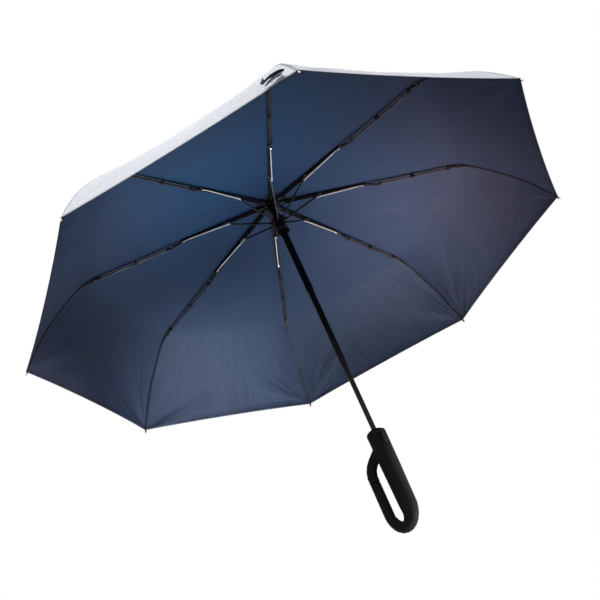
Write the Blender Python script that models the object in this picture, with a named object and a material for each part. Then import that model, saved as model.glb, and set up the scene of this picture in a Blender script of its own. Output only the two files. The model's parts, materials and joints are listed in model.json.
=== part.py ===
# Three-fold umbrella, shown open. The origin is the middle of the hand grip and
# +Z runs along the shaft towards the crown. Rib one points along +X.
import math

import bmesh
import bpy
from mathutils import Matrix, Vector
from mathutils.geometry import tessellate_polygon

MM = 0.001
RIGHT_ANGLE = 90.0
HALF_TURN = 180.0
FULL_TURN = 360.0

# Ribs, measured along each bar between its pivots
RIB_COUNT = 8
CROWN_PIVOT_RADIUS = 11.5 * MM
CROWN_PIVOT_HEIGHT = 517.0 * MM
TOP_RIB_LENGTH = 167.9 * MM
TOP_RIB_FALL = 6.22
STRETCHER_PIVOT_RUN = 79.9 * MM
STRETCHER_PIVOT_DROP = 1.2 * MM
MIDDLE_RIB_LENGTH = 173.9 * MM
MIDDLE_RIB_FALL = 8.36
OUTER_RIB_LENGTH = 200.0 * MM
OUTER_RIB_FALLS = (25.0, 38.0, 42.0, 45.0, 51.0, 55.0, 58.0)

# Rib sections
CHANNEL_HALF_WIDTH = 2.8 * MM
CHANNEL_HALF_HEIGHT = 2.2 * MM
CHANNEL_WALL = 0.6 * MM
LANE_INNER = 0.15 * MM
LANE_OUTER = 1.9 * MM
MIDDLE_HALF_WIDTH = 2.1 * MM
MIDDLE_HALF_HEIGHT = 1.7 * MM
MIDDLE_STEP_DOWN = 4.5 * MM
MIDDLE_STEP_UP = 2.2 * MM
CHEEK_WALL = 0.7 * MM
CHEEK_LENGTH = 15.0 * MM
FORK_REACH = 10.5 * MM
BAR_HALF_HEIGHT = 1.4 * MM
LINK_HALF_HEIGHT = 1.1 * MM
ROD_RADIUS = 1.2 * MM
FERRULE_RADIUS = 1.9 * MM
FERRULE_LENGTH = 17.0 * MM
FERRULE_START = 4.5 * MM
FERRULE_RISE = 1.6 * MM
TIP_RADIUS = 1.7 * MM
TIP_LENGTH = 9.0 * MM
WIRE_RADIUS = 0.6 * MM
WIRE_MARGIN = 14.0 * MM
CLIP_LENGTH = 9.0 * MM
CLIP_HALF_WIDTH = 2.0 * MM

# Rivets, eyes and levers
RIVET_RADIUS = 1.0 * MM
RIVET_HEAD_RADIUS = 1.6 * MM
RIVET_HEAD_HEIGHT = 0.5 * MM
EYE_RADIUS = 2.3 * MM
SMALL_PIN_RADIUS = 0.8 * MM
ROOT_EYE_RADIUS = 1.8 * MM
ROOT_HALF_WIDTH = 1.5 * MM
ROOT_RUN = 6.8 * MM
ROOT_BLOCK_LENGTH = 6.0 * MM
PIN_CLEARANCE = 0.3 * MM
SIDE_CLEARANCE = 0.35 * MM
STRETCHER_LEVER = 7.0 * MM
TAIL_LEVER = 5.9 * MM
TAIL_RISE = 4.0
LINK_SLOT_LENGTH = 1.5 * MM
LINK_SLOT_DROP = 0.5 * MM
BLEND = 0.3 * MM

# Runner, hanging below the crown, with heights counted from its ring of stretcher pivots
RUNNER_PIVOT_RADIUS = 11.0 * MM
RUNNER_DROP = 40.5 * MM
RUNNER_DISC_RADIUS = 14.3 * MM
RUNNER_DISC_HALF = 4.5 * MM
RUNNER_NECK_RADIUS = 8.8 * MM
RUNNER_COLLAR_RISE = 10.0 * MM
RUNNER_NECK_DROP = 10.0 * MM
BELL_DROP = 23.5 * MM
BELL_RADIUS = 13.0 * MM
BELL_WALL = 1.1 * MM

# Crown, heights counted from its ring of rib pivots
CROWN_DISC_RADIUS = 15.0 * MM
CROWN_DISC_HALF = 4.2 * MM
CROWN_SOCKET_RADIUS = 8.6 * MM
CROWN_SOCKET_DROP = 14.0 * MM
CROWN_NECK_RADIUS = 5.2 * MM
CROWN_NECK_RISE = 11.5 * MM
SLOT_HALF_WIDTH = 2.25 * MM
SLOT_FLOOR_RADIUS = 9.2 * MM
SLOT_ROOF = 2.3 * MM

# Cap above the cloth
CAP_RADIUS = 12.5 * MM
CAP_RIM = 1.7 * MM
CAP_SHOULDER_RADIUS = 8.4 * MM
CAP_TOP_RADIUS = 7.4 * MM
CAP_HEIGHT = 11.5 * MM
CAP_BORE_DEPTH = 7.0 * MM

# Shaft tubes
LOWER_TUBE_RADIUS = 4.1 * MM
MIDDLE_TUBE_RADIUS = 5.2 * MM
TOP_TUBE_RADIUS = 6.1 * MM
TUBE_CLEARANCE = 0.3 * MM
LOWER_TUBE_BORE = 3.4 * MM
LOWER_TUBE_FOOT = -29.5 * MM
MIDDLE_TUBE_FOOT = 161.0 * MM
TOP_TUBE_FOOT = 316.0 * MM
TUBE_OVERLAP = 23.0 * MM
BEAD_HEIGHT = 3.0 * MM
BEAD_PROUD = 0.35 * MM

# Grip and loop of the handle, heights counted from the origin
GRIP_TOP = 40.0 * MM
GRIP_RIM = 35.5 * MM
GRIP_TOP_RADIUS = 9.0 * MM
GRIP_RIM_RADIUS = 15.8 * MM
GRIP_WAIST_RADIUS = 15.0 * MM
GRIP_WAIST = -32.0 * MM
GRIP_FOOT_RADIUS = 13.9 * MM
GRIP_FOOT = -89.0 * MM
BEND_DEPTH = 27.3 * MM
BEND_THINNING = 2.5
ARM_OFFSET = 33.2 * MM
ARM_RADIUS = 8.2 * MM
LOOP_HEADING = -67.0
ARM_PATH = (
    (3.0 * MM, 14.0 * MM),
    (10.0 * MM, 6.5 * MM),
    (16.0 * MM, 1.0 * MM),
    (22.0 * MM, -4.5 * MM),
    (27.3 * MM, -10.5 * MM),
    (31.0 * MM, -17.5 * MM),
    (ARM_OFFSET, -26.0 * MM),
    (ARM_OFFSET, -42.0 * MM),
)
BORE_CLEARANCE = 0.3 * MM
NOTCH_RADIUS = 2.4 * MM
NOTCH_RUN = 15.0 * MM
NOTCH_DEPTH = 5.0 * MM

# Gate in the loop
GATE_RADIUS = 8.0 * MM
GATE_TOP = -36.0 * MM
GATE_NOSE_OUTER = -92.6 * MM
GATE_NOSE_INNER = -96.4 * MM
GATE_TOP_RELIEF = 1.5 * MM
GATE_SEAM = 0.4 * MM
HINGE_HEIGHT = -31.0 * MM
HINGE_PIN_RADIUS = 1.5 * MM
HINGE_PIN_HALF = 7.6 * MM
TONGUE_HALF_WIDTH = 3.2 * MM
TONGUE_RADIUS = 4.0 * MM
TONGUE_SLOT_RADIUS = 5.0 * MM

# Push button
BUTTON_HEADING = 73.0
BUTTON_HEIGHT = 18.5 * MM
BUTTON_HALF_WIDTH = 5.2 * MM
BUTTON_HALF_LENGTH = 11.0 * MM
BUTTON_ROOT = 8.6 * MM
BUTTON_FACE = 17.0 * MM
BUTTON_TRAVEL = 2.4 * MM
BUTTON_EASE = 1.0 * MM

# Canopy
CLOTH_THICKNESS = 0.8 * MM
CLOTH_CLEARANCE = 0.4 * MM
CLOTH_HOLE_RADIUS = 6.2 * MM
CLOTH_OVER_JOINT = 3.4 * MM
CLOTH_OVER_ELBOW = 5.6 * MM
CLOTH_OVER_ROD = 2.6 * MM
CLOTH_SHORT_OF_TIP = 6.0 * MM
CLOTH_BRIM = 1.0 * MM
INNER_ROW_SHARES = (0.33, 0.66)
MIDDLE_ROW_SHARES = (0.33, 0.66)
GORE_STEPS = 4
HEM_SAG = 5.6 * MM
SAG_POWER = 4.0
SAG_CURVE = 2.2
BELLY_SAG = 10.5 * MM
BELLY_POWER = 1.7

# Tie strap on the hem beside rib eight
STRAP_WIDTH = 22.0 * MM
STRAP_THICKNESS = 1.0 * MM
STRAP_HEADING = 43.6
STRAP_ABOVE_HEM = 13.5 * MM
STRAP_CLEARANCE = 1.0 * MM
STRAP_PATH = (
    (0.0 * MM, 0.0 * MM),
    (10.0 * MM, -2.2 * MM),
    (20.0 * MM, -6.0 * MM),
    (29.0 * MM, -10.2 * MM),
    (33.5 * MM, -11.4 * MM),
    (36.6 * MM, -9.8 * MM),
    (36.0 * MM, -6.4 * MM),
    (31.0 * MM, -3.4 * MM),
    (22.0 * MM, 0.4 * MM),
    (12.0 * MM, 3.4 * MM),
    (4.0 * MM, 4.2 * MM),
)

COARSE_STEPS = 8
ROUND_STEPS = 12
FINE_STEPS = 20
LATHE_STEPS = 32
WIRE_STEPS = 6
TUBE_STEPS = 24
BEND_STEPS = 12
CAP_STEPS = 4
SLOT_STEPS = 8
OVAL_STEPS = 6


def colour(name, rgb, roughness, metallic):
    """A plain surface of one colour."""
    made = bpy.data.materials.new(name)
    made.use_nodes = True
    shader = made.node_tree.nodes["Principled BSDF"]
    shader.inputs["Base Color"].default_value = (*rgb, 1.0)
    shader.inputs["Roughness"].default_value = roughness
    shader.inputs["Metallic"].default_value = metallic
    made.diffuse_color = (*rgb, 1.0)
    return made


def finished(mesh):
    """The mesh with its faces turned outwards."""
    work = bmesh.new()
    work.from_mesh(mesh)
    bmesh.ops.remove_doubles(work, verts=work.verts, dist=MM * MM)
    bmesh.ops.recalc_face_normals(work, faces=work.faces)
    work.to_mesh(mesh)
    work.free()
    return mesh


def mesh_of(points, faces):
    made = bpy.data.meshes.new("form")
    made.from_pydata([tuple(p) for p in points], [], faces)
    return finished(made)


def arc(centre, radius, start, end, steps):
    """Points on an arc in a rib's plane, angles in degrees."""
    found = []
    for step in range(steps + 1):
        angle = math.radians(start + (end - start) * step / steps)
        across = centre[0] + radius * math.cos(angle)
        up = centre[1] + radius * math.sin(angle)
        found.append((across, up))
    return found


def circle(centre, radius, steps):
    """A ring of points that starts half a step past the X direction."""
    half = HALF_TURN / steps
    return arc(centre, radius, half, FULL_TURN + half, steps)[:-1]


def strip(chain, radii, steps=CAP_STEPS):
    """The outline of a flat bar with round ends that follows a chain of points."""
    first = heading(chain[0], chain[1])
    last = heading(chain[-2], chain[-1])
    outline = arc(chain[0], radii[0], first + RIGHT_ANGLE, first + HALF_TURN + RIGHT_ANGLE, steps)
    lower = []
    upper = []
    for before, here, after, radius in zip(chain, chain[1:], chain[2:], radii[1:]):
        mean = (heading(before, here) + heading(here, after)) / 2
        lower.append(shifted(here, radius, mean - RIGHT_ANGLE))
        upper.append(shifted(here, radius, mean + RIGHT_ANGLE))
    outline += lower
    outline += arc(chain[-1], radii[-1], last - RIGHT_ANGLE, last + RIGHT_ANGLE, steps)
    return outline + upper[::-1]


def heading(start, end):
    return math.degrees(math.atan2(end[1] - start[1], end[0] - start[0]))


def shifted(point, distance, angle):
    turn = math.radians(angle)
    across = point[0] + distance * math.cos(turn)
    return (across, point[1] + distance * math.sin(turn))


def laid(points, angle, start=(0.0, 0.0)):
    """Points turned by an angle in degrees and moved to a start."""
    turn = math.radians(angle)
    cos, sin = math.cos(turn), math.sin(turn)
    return [(start[0] + x * cos - y * sin, start[1] + x * sin + y * cos) for x, y in points]


def prism(outline, low, high, holes=()):
    """A plate between two planes of Y, with its outline and holes in X and Z."""
    rings = [list(outline)] + [list(hole) for hole in holes]
    flat = [point for ring in rings for point in ring]
    count = len(flat)
    points = [(x, low, z) for x, z in flat] + [(x, high, z) for x, z in flat]
    cap = tessellate_polygon([[Vector((x, z, 0.0)) for x, z in ring] for ring in rings])
    faces = [tuple(corner) for corner in cap]
    faces += [tuple(corner + count for corner in reversed(face)) for face in cap]
    start = 0
    for ring in rings:
        size = len(ring)
        for step in range(size):
            here = start + step
            after = start + (step + 1) % size
            faces.append((here, after, after + count, here + count))
        start += size
    return mesh_of(points, faces)


def sweep(path, section, scales=None):
    """A section of (Y, rise) points carried along a path in X and Z."""
    scales = scales or [1.0] * len(path)
    size = len(section)
    points = []
    for step, here in enumerate(path):
        before = path[max(step - 1, 0)]
        after = path[min(step + 1, len(path) - 1)]
        incoming = heading(before, here) if step else heading(here, after)
        outgoing = heading(here, after) if step < len(path) - 1 else incoming
        bend = math.radians(outgoing - incoming) / 2
        mean = math.radians((incoming + outgoing) / 2)
        for side, rise in section:
            lift = rise * scales[step] / math.cos(bend)
            across = here[0] - lift * math.sin(mean)
            points.append((across, side * scales[step], here[1] + lift * math.cos(mean)))
    faces = [tuple(range(size))]
    faces.append(tuple(reversed(range(len(points) - size, len(points)))))
    for step in range(len(path) - 1):
        for side in range(size):
            here = step * size + side
            after = step * size + (side + 1) % size
            faces.append((here, after, after + size, here + size))
    return mesh_of(points, faces)


def rod(path, radius, sides, scales=None):
    return sweep(path, circle((0.0, 0.0), radius, sides), scales)


def cross_pin(centre, radius, low, high, sides=COARSE_STEPS):
    return prism(circle(centre, radius, sides), low, high)


def lathe(profile, steps=LATHE_STEPS):
    """A closed profile of (radius, height) points turned about Z."""
    points = []
    for radius, height in profile:
        for step in range(steps):
            angle = 2 * math.pi * step / steps
            points.append((radius * math.cos(angle), radius * math.sin(angle), height))
    size = len(profile)
    faces = []
    for row in range(size):
        below = row * steps
        above = (row + 1) % size * steps
        for step in range(steps):
            after = (step + 1) % steps
            faces.append((below + step, below + after, above + after, above + step))
    return mesh_of(points, faces)


def turned_solid(profile, steps=LATHE_STEPS):
    """A profile that starts and ends on the axis, turned about Z."""
    points = [(0.0, 0.0, profile[0][1]), (0.0, 0.0, profile[-1][1])]
    rows = profile[1:-1]
    for radius, height in rows:
        for step in range(steps):
            angle = 2 * math.pi * step / steps
            points.append((radius * math.cos(angle), radius * math.sin(angle), height))
    faces = []
    top = 2 + (len(rows) - 1) * steps
    for step in range(steps):
        after = (step + 1) % steps
        faces.append((0, 2 + after, 2 + step))
        faces.append((1, top + step, top + after))
        for row in range(len(rows) - 1):
            low = 2 + row * steps
            faces.append((low + step, low + after, low + steps + after, low + steps + step))
    return mesh_of(points, faces)


def moved(mesh, matrix):
    mesh.transform(matrix)
    return mesh


def around(angle):
    return Matrix.Rotation(math.radians(angle), 4, "Z")


def merged(forms):
    """Several separate forms in one mesh."""
    work = bmesh.new()
    for form in forms:
        work.from_mesh(form)
    made = bpy.data.meshes.new("forms")
    work.to_mesh(made)
    work.free()
    return made


def combined(base, others, operation):
    """The base joined with, or cut by, each of the other forms."""
    body = bpy.data.objects.new("work", base)
    bpy.context.scene.collection.objects.link(body)
    helpers = []
    for form in others:
        helper = bpy.data.objects.new("helper", form)
        helper.hide_render = True
        helper.display_type = "WIRE"
        bpy.context.scene.collection.objects.link(helper)
        step = body.modifiers.new(operation, "BOOLEAN")
        step.operation = operation
        step.solver = "EXACT"
        step.object = helper
        helpers.append(helper)
    bpy.context.view_layer.update()
    graph = bpy.context.evaluated_depsgraph_get()
    made = bpy.data.meshes.new_from_object(body.evaluated_get(graph))
    for used in [body] + helpers:
        bpy.data.objects.remove(used)
    return made


def joined(base, *others):
    return combined(base, others, "UNION")


def cut(base, *others):
    return combined(base, others, "DIFFERENCE")


def place(name, mesh, material, origin=(0.0, 0.0, 0.0), turn=0.0, crease=35.0):
    """An object in the scene, with its origin on its own joint axis."""
    own = mesh.copy()
    own.name = name
    own.materials.clear()
    own.materials.append(material)
    for face in own.polygons:
        face.use_smooth = True
        face.material_index = 0
    own.set_sharp_from_angle(angle=math.radians(crease))
    made = bpy.data.objects.new(name, own)
    bpy.context.scene.collection.objects.link(made)
    made.location = around(turn) @ Vector(origin)
    made.rotation_euler.z = math.radians(turn)
    return made


def rib_headings():
    """Each rib's number and its heading about the shaft."""
    step = FULL_TURN / RIB_COUNT
    return [(number + 1, -step * number) for number in range(RIB_COUNT)]


# Pivots in a rib's plane, as (radius, height)
CROWN_PIVOT = (CROWN_PIVOT_RADIUS, CROWN_PIVOT_HEIGHT)
RUNNER_PIVOT_HEIGHT = CROWN_PIVOT_HEIGHT - RUNNER_DROP
RUNNER_PIVOT = (RUNNER_PIVOT_RADIUS, RUNNER_PIVOT_HEIGHT)


def on_top_rib(points):
    return laid(points, -TOP_RIB_FALL, CROWN_PIVOT)


STRETCHER_PIVOT = on_top_rib([(STRETCHER_PIVOT_RUN, -STRETCHER_PIVOT_DROP)])[0]
KNEE = on_top_rib([(TOP_RIB_LENGTH, 0.0)])[0]
ELBOW = laid([(MIDDLE_RIB_LENGTH, 0.0)], -MIDDLE_RIB_FALL, KNEE)[0]
STRETCHER_HEADING = heading(STRETCHER_PIVOT, RUNNER_PIVOT)
STRETCHER_LENGTH = math.dist(STRETCHER_PIVOT, RUNNER_PIVOT)
LINK_START = shifted(STRETCHER_PIVOT, STRETCHER_LEVER, STRETCHER_HEADING)
LINK_END = shifted(KNEE, TAIL_LEVER, HALF_TURN + TAIL_RISE - TOP_RIB_FALL)
OUTER_STEP = OUTER_RIB_LENGTH / len(OUTER_RIB_FALLS)


def rivet(centre, low, high, head):
    """A stub rivet from a cheek, with its head outside the cheek."""
    shank = cross_pin(centre, RIVET_RADIUS, low, high)
    outer = low if head < 0.0 else high
    inside = outer + BLEND if head < 0.0 else outer - BLEND
    outside = outer + head * RIVET_HEAD_HEIGHT
    button = cross_pin(centre, RIVET_HEAD_RADIUS, min(inside, outside), max(inside, outside))
    return joined(shank, button)


def top_rib_form():
    wide, high, wall = CHANNEL_HALF_WIDTH, CHANNEL_HALF_HEIGHT, CHANNEL_WALL
    section = [
        (-wide, -high),
        (-wide, high),
        (wide, high),
        (wide, -high),
        (wide - wall, -high),
        (wide - wall, high - wall),
        (-wide + wall, high - wall),
        (-wide + wall, -high),
    ]
    channel = sweep([(ROOT_RUN, 0.0), (TOP_RIB_LENGTH - FORK_REACH, 0.0)], section)
    inner = wide - wall + BLEND
    block_top = high - BLEND
    block_start = ROOT_RUN + BLEND
    block_end = block_start + ROOT_BLOCK_LENGTH
    block = prism(
        [
            (block_start, -block_top),
            (block_end, -block_top),
            (block_end, block_top),
            (block_start, block_top),
        ],
        -inner,
        inner,
    )
    tongue_outline = strip([(0.0, 0.0), (block_end - BLEND, 0.0)], [ROOT_EYE_RADIUS] * 2)
    tongue = prism(tongue_outline, -ROOT_HALF_WIDTH, ROOT_HALF_WIDTH)
    hook = LANE_OUTER
    pin = cross_pin((0.0, 0.0), SMALL_PIN_RADIUS, -hook, hook)
    cheek_outline = strip(
        [(TOP_RIB_LENGTH - CHEEK_LENGTH, 0.0), (TOP_RIB_LENGTH, 0.0)],
        [EYE_RADIUS + BLEND] * 2,
    )
    cheek_in = wide - CHEEK_WALL + BLEND / 2
    cheek_out = cheek_in + CHEEK_WALL
    cheeks = [
        prism(cheek_outline, -cheek_out, -cheek_in),
        prism(cheek_outline, cheek_in, cheek_out),
    ]
    knee = (TOP_RIB_LENGTH, 0.0)
    far_head = cross_pin(knee, RIVET_HEAD_RADIUS, cheek_out - BLEND, cheek_out + RIVET_HEAD_HEIGHT)
    stretcher = (STRETCHER_PIVOT_RUN, -STRETCHER_PIVOT_DROP)
    pins = [
        rivet(knee, -cheek_out, -LANE_INNER, -1.0),
        far_head,
        rivet(stretcher, -wide, -LANE_INNER, -1.0),
        cross_pin(stretcher, RIVET_HEAD_RADIUS - BLEND, wide - BLEND, wide + RIVET_HEAD_HEIGHT),
    ]
    made = joined(channel, block, tongue, pin, *cheeks, *pins)
    return leant(made, -TOP_RIB_FALL)


def leant(mesh, angle):
    """The mesh turned in the rib's plane, positive from X towards Z."""
    return moved(mesh, Matrix.Rotation(math.radians(-angle), 4, "Y"))


def stretcher_form():
    """Drawn with X towards the runner, then turned to its heading."""
    end = (STRETCHER_LENGTH, 0.0)
    neck = EYE_RADIUS * 2
    outline = strip(
        [(0.0, 0.0), (neck, 0.0), end],
        [EYE_RADIUS, BAR_HALF_HEIGHT, BAR_HALF_HEIGHT],
    )
    hole = circle((0.0, 0.0), RIVET_RADIUS + PIN_CLEARANCE, COARSE_STEPS)
    plate = prism(outline, -LANE_OUTER, -LANE_INNER, [hole])
    lever = cross_pin((STRETCHER_LEVER, 0.0), SMALL_PIN_RADIUS, -LANE_INNER - BLEND, LANE_OUTER)
    hook = cross_pin(end, SMALL_PIN_RADIUS, -LANE_OUTER - PIN_CLEARANCE / 2, LANE_OUTER)
    return leant(joined(plate, lever, hook), STRETCHER_HEADING)


def link_form():
    """Drawn with X from the stretcher's lever towards the middle rib's tail."""
    length = math.dist(LINK_START, LINK_END)
    neck = EYE_RADIUS * 2
    slot_start = (length - LINK_SLOT_LENGTH, -LINK_SLOT_DROP)
    slot_end = (length, -LINK_SLOT_DROP)
    outline = strip(
        [(0.0, 0.0), (neck, 0.0), (slot_start[0] - neck, 0.0), slot_start, slot_end],
        [EYE_RADIUS, LINK_HALF_HEIGHT, LINK_HALF_HEIGHT, EYE_RADIUS, EYE_RADIUS],
    )
    hole = circle((0.0, 0.0), SMALL_PIN_RADIUS + PIN_CLEARANCE, COARSE_STEPS)
    slot_radius = SMALL_PIN_RADIUS + LINK_SLOT_DROP + PIN_CLEARANCE / 2
    slot = strip([slot_start, slot_end], [slot_radius] * 2)
    plate = prism(outline, LANE_INNER, LANE_OUTER, [hole, slot])
    return leant(plate, heading(LINK_START, LINK_END))


def middle_bar_line():
    """The two ends of the middle rib's bar, seen from the knee."""
    start = (EYE_RADIUS * 3, -MIDDLE_STEP_DOWN)
    end = (MIDDLE_RIB_LENGTH - EYE_RADIUS * 3, MIDDLE_STEP_UP)
    return start, end


def middle_rib_form():
    start, end = middle_bar_line()
    wide, high, wall = MIDDLE_HALF_WIDTH, MIDDLE_HALF_HEIGHT, CHANNEL_WALL
    section = [
        (-wide, -high),
        (-wide, high),
        (wide, high),
        (wide, -high),
        (wide - wall, -high),
        (wide - wall, high - wall),
        (-wide + wall, high - wall),
        (-wide + wall, -high),
    ]
    channel = sweep([start, end], section)
    lean = heading(start, end)
    inner = wide - wall + BLEND
    length = math.dist(start, end)
    low = -high + BLEND / 2
    top = high - BLEND
    blocks = []
    for near, far in ((BLEND, ROOT_BLOCK_LENGTH), (length - ROOT_BLOCK_LENGTH, length - BLEND)):
        corners = [(near, low), (far, low), (far, top), (near, top)]
        blocks.append(prism(laid(corners, lean, start), -inner, inner))
    tail = laid([(-TAIL_LEVER, 0.0)], TAIL_RISE + MIDDLE_RIB_FALL - TOP_RIB_FALL)[0]
    neck = laid([(BLEND * 9, 0.0)], lean, start)[0]
    loose = RIVET_RADIUS + PIN_CLEARANCE
    knee_plate = prism(
        strip(
            [tail, (0.0, 0.0), neck],
            [EYE_RADIUS - BLEND, EYE_RADIUS, high - BLEND * 1.5],
        ),
        -LANE_OUTER,
        -LANE_INNER,
        [circle((0.0, 0.0), loose, COARSE_STEPS)],
    )
    tail_pin = cross_pin(tail, SMALL_PIN_RADIUS, -LANE_INNER - BLEND, LANE_OUTER)
    elbow = (MIDDLE_RIB_LENGTH, 0.0)
    inboard = laid([(-BLEND * 9, 0.0)], lean, end)[0]
    elbow_plate = prism(
        strip([inboard, elbow], [high - BLEND * 1.5, EYE_RADIUS]),
        -LANE_OUTER,
        -LANE_INNER,
        [circle(elbow, loose, COARSE_STEPS)],
    )
    made = joined(channel, *blocks, knee_plate, tail_pin, elbow_plate)
    return leant(made, -MIDDLE_RIB_FALL)


def pull_wire_form():
    """The wire under the middle rib, with the clip that guides it."""
    start, end = middle_bar_line()
    lean = heading(start, end)
    length = math.dist(start, end)
    drop = MIDDLE_HALF_HEIGHT + SIDE_CLEARANCE + WIRE_RADIUS
    line = laid([(WIRE_MARGIN, -drop), (length - WIRE_MARGIN, -drop)], lean, start)
    wire = rod(line, WIRE_RADIUS, WIRE_STEPS)
    middle = length / 2
    half = CLIP_LENGTH / 2
    top = -MIDDLE_HALF_HEIGHT - PIN_CLEARANCE
    foot = -drop - WIRE_RADIUS * 2
    corners = [(middle - half, foot), (middle + half, foot), (middle + half, top), (middle - half, top)]
    clip = prism(laid(corners, lean, start), -CLIP_HALF_WIDTH, CLIP_HALF_WIDTH)
    return leant(joined(wire, clip), -MIDDLE_RIB_FALL)


def outer_rib_line():
    """The rod's centre line, seen from the elbow pivot."""
    first = -OUTER_RIB_FALLS[0]
    here = shifted((0.0, 0.0), FERRULE_RISE, first + RIGHT_ANGLE)
    line = [here]
    for fall in OUTER_RIB_FALLS:
        here = shifted(here, OUTER_STEP, -fall)
        line.append(here)
    return line


def outer_rib_form():
    line = outer_rib_line()
    first = -OUTER_RIB_FALLS[0]
    start = shifted(line[0], FERRULE_START, first)
    inside = shifted(line[0], FERRULE_START + BLEND * 6, first)
    ferrule_end = shifted(line[0], FERRULE_START + FERRULE_LENGTH, first)
    plate = prism(strip([(0.0, 0.0), inside], [EYE_RADIUS, FERRULE_RADIUS - BLEND]), LANE_INNER, LANE_OUTER)
    middle_face = -LANE_OUTER - SIDE_CLEARANCE
    pin = cross_pin((0.0, 0.0), RIVET_RADIUS, middle_face - BLEND, LANE_INNER + BLEND)
    near_head = cross_pin(
        (0.0, 0.0), RIVET_HEAD_RADIUS, middle_face - RIVET_HEAD_HEIGHT, middle_face
    )
    far_head = cross_pin(
        (0.0, 0.0), RIVET_HEAD_RADIUS, LANE_OUTER - BLEND, LANE_OUTER + RIVET_HEAD_HEIGHT
    )
    ferrule = rod([start, ferrule_end], FERRULE_RADIUS, COARSE_STEPS)
    rod_start = shifted(line[0], FERRULE_START + BLEND * 3, first)
    last = -OUTER_RIB_FALLS[-1]
    bar = rod([rod_start] + line[1:-1] + [shifted(line[-1], -BLEND * 3, last)], ROD_RADIUS, COARSE_STEPS)
    tip_start = shifted(line[-1], -TIP_LENGTH, last)
    tip_shoulder = shifted(line[-1], -TIP_RADIUS, last)
    tip = rod([tip_start, tip_shoulder, line[-1]], TIP_RADIUS, ROUND_STEPS, [1.0, 1.0, 0.55])
    return joined(plate, pin, near_head, far_head, ferrule, bar, tip)


def slot_cutters(roof, floor, reach):
    """Eight radial slots, open outwards and downwards."""
    outline = [
        (SLOT_FLOOR_RADIUS, floor),
        (reach, floor),
        (reach, roof),
        (SLOT_FLOOR_RADIUS, roof),
    ]
    forms = []
    for _, turn in rib_headings():
        form = prism(outline, -SLOT_HALF_WIDTH, SLOT_HALF_WIDTH)
        forms.append(moved(form, around(turn)))
    return merged(forms)


def crown_form():
    bore = TOP_TUBE_RADIUS + TUBE_CLEARANCE
    half, disc, socket = CROWN_DISC_HALF, CROWN_DISC_RADIUS, CROWN_SOCKET_RADIUS
    profile = [
        (0.0, SLOT_ROOF),
        (bore, SLOT_ROOF),
        (bore, -CROWN_SOCKET_DROP),
        (socket, -CROWN_SOCKET_DROP),
        (socket, -half),
        (disc, -half),
        (disc, half - BLEND * 2),
        (disc - BLEND * 2, half),
        (CROWN_NECK_RADIUS, half),
        (CROWN_NECK_RADIUS, CROWN_NECK_RISE),
        (0.0, CROWN_NECK_RISE),
    ]
    cutters = slot_cutters(SLOT_ROOF, -CROWN_SOCKET_DROP * 2, disc * 2)
    return cut(turned_solid(profile), cutters)


def runner_form():
    bore = TOP_TUBE_RADIUS + TUBE_CLEARANCE
    half, disc, neck = RUNNER_DISC_HALF, RUNNER_DISC_RADIUS, RUNNER_NECK_RADIUS
    flare = (BELL_DROP - RUNNER_NECK_DROP) / 2
    middle_radius = (neck + BELL_RADIUS) / 2 - BELL_WALL
    profile = [
        (bore, RUNNER_COLLAR_RISE),
        (bore, -RUNNER_NECK_DROP),
        (middle_radius - BELL_WALL, -RUNNER_NECK_DROP - flare),
        (BELL_RADIUS - BELL_WALL, -BELL_DROP),
        (BELL_RADIUS, -BELL_DROP),
        (BELL_RADIUS, -BELL_DROP + BELL_WALL),
        (middle_radius, -RUNNER_NECK_DROP - flare + BELL_WALL),
        (neck, -RUNNER_NECK_DROP),
        (neck, -half),
        (disc, -half),
        (disc, half),
        (neck, half),
        (neck, RUNNER_COLLAR_RISE),
    ]
    cutters = slot_cutters(half * 2, -half * 2, disc * 2)
    return cut(lathe(profile), cutters)


def cap_form():
    """Heights counted from the cap's underside."""
    bore = CROWN_NECK_RADIUS + TUBE_CLEARANCE
    profile = [
        (0.0, CAP_BORE_DEPTH),
        (bore, CAP_BORE_DEPTH),
        (bore, 0.0),
        (CAP_RADIUS, 0.0),
        (CAP_RADIUS, CAP_RIM),
        (CAP_SHOULDER_RADIUS, CAP_RIM * 3),
        (CAP_SHOULDER_RADIUS, CAP_HEIGHT - CAP_RIM / 2),
        (CAP_TOP_RADIUS, CAP_HEIGHT),
        (0.0, CAP_HEIGHT),
    ]
    return turned_solid(profile)


def tube_form(radius, bore, foot, top, bead):
    """A shaft tube, with a rolled bead round its open foot where it has one."""
    profile = [(bore, top), (bore, foot)]
    if bead:
        swell = radius + BEAD_PROUD
        profile += [(radius, foot), (swell, foot + BEAD_HEIGHT / 4)]
        profile += [(swell, foot + BEAD_HEIGHT * 3 / 4), (radius, foot + BEAD_HEIGHT)]
    else:
        profile.append((radius, foot))
    profile.append((radius, top))
    return lathe(profile, TUBE_STEPS)


def grip_path():
    """The centre line of grip and bend in the loop's plane, with its radii."""
    waist = (0.0, GRIP_WAIST)
    line = [(0.0, GRIP_TOP), (0.0, (GRIP_TOP + GRIP_RIM * 2) / 3), (0.0, GRIP_RIM), waist]
    shoulder = (GRIP_TOP_RADIUS + GRIP_RIM_RADIUS * 3) / 4
    radii = [GRIP_TOP_RADIUS, shoulder, GRIP_RIM_RADIUS, GRIP_WAIST_RADIUS]
    half = ARM_OFFSET / 2
    for step in range(BEND_STEPS + 1):
        angle = math.pi * step / BEND_STEPS
        line.append((half - half * math.cos(angle), GRIP_FOOT - BEND_DEPTH * math.sin(angle)))
        share = (1.0 - step / BEND_STEPS) ** BEND_THINNING
        radii.append(ARM_RADIUS + (GRIP_FOOT_RADIUS - ARM_RADIUS) * share)
    line.append((ARM_OFFSET, GRIP_FOOT + GATE_RADIUS))
    radii.append(ARM_RADIUS)
    return line, radii


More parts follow.
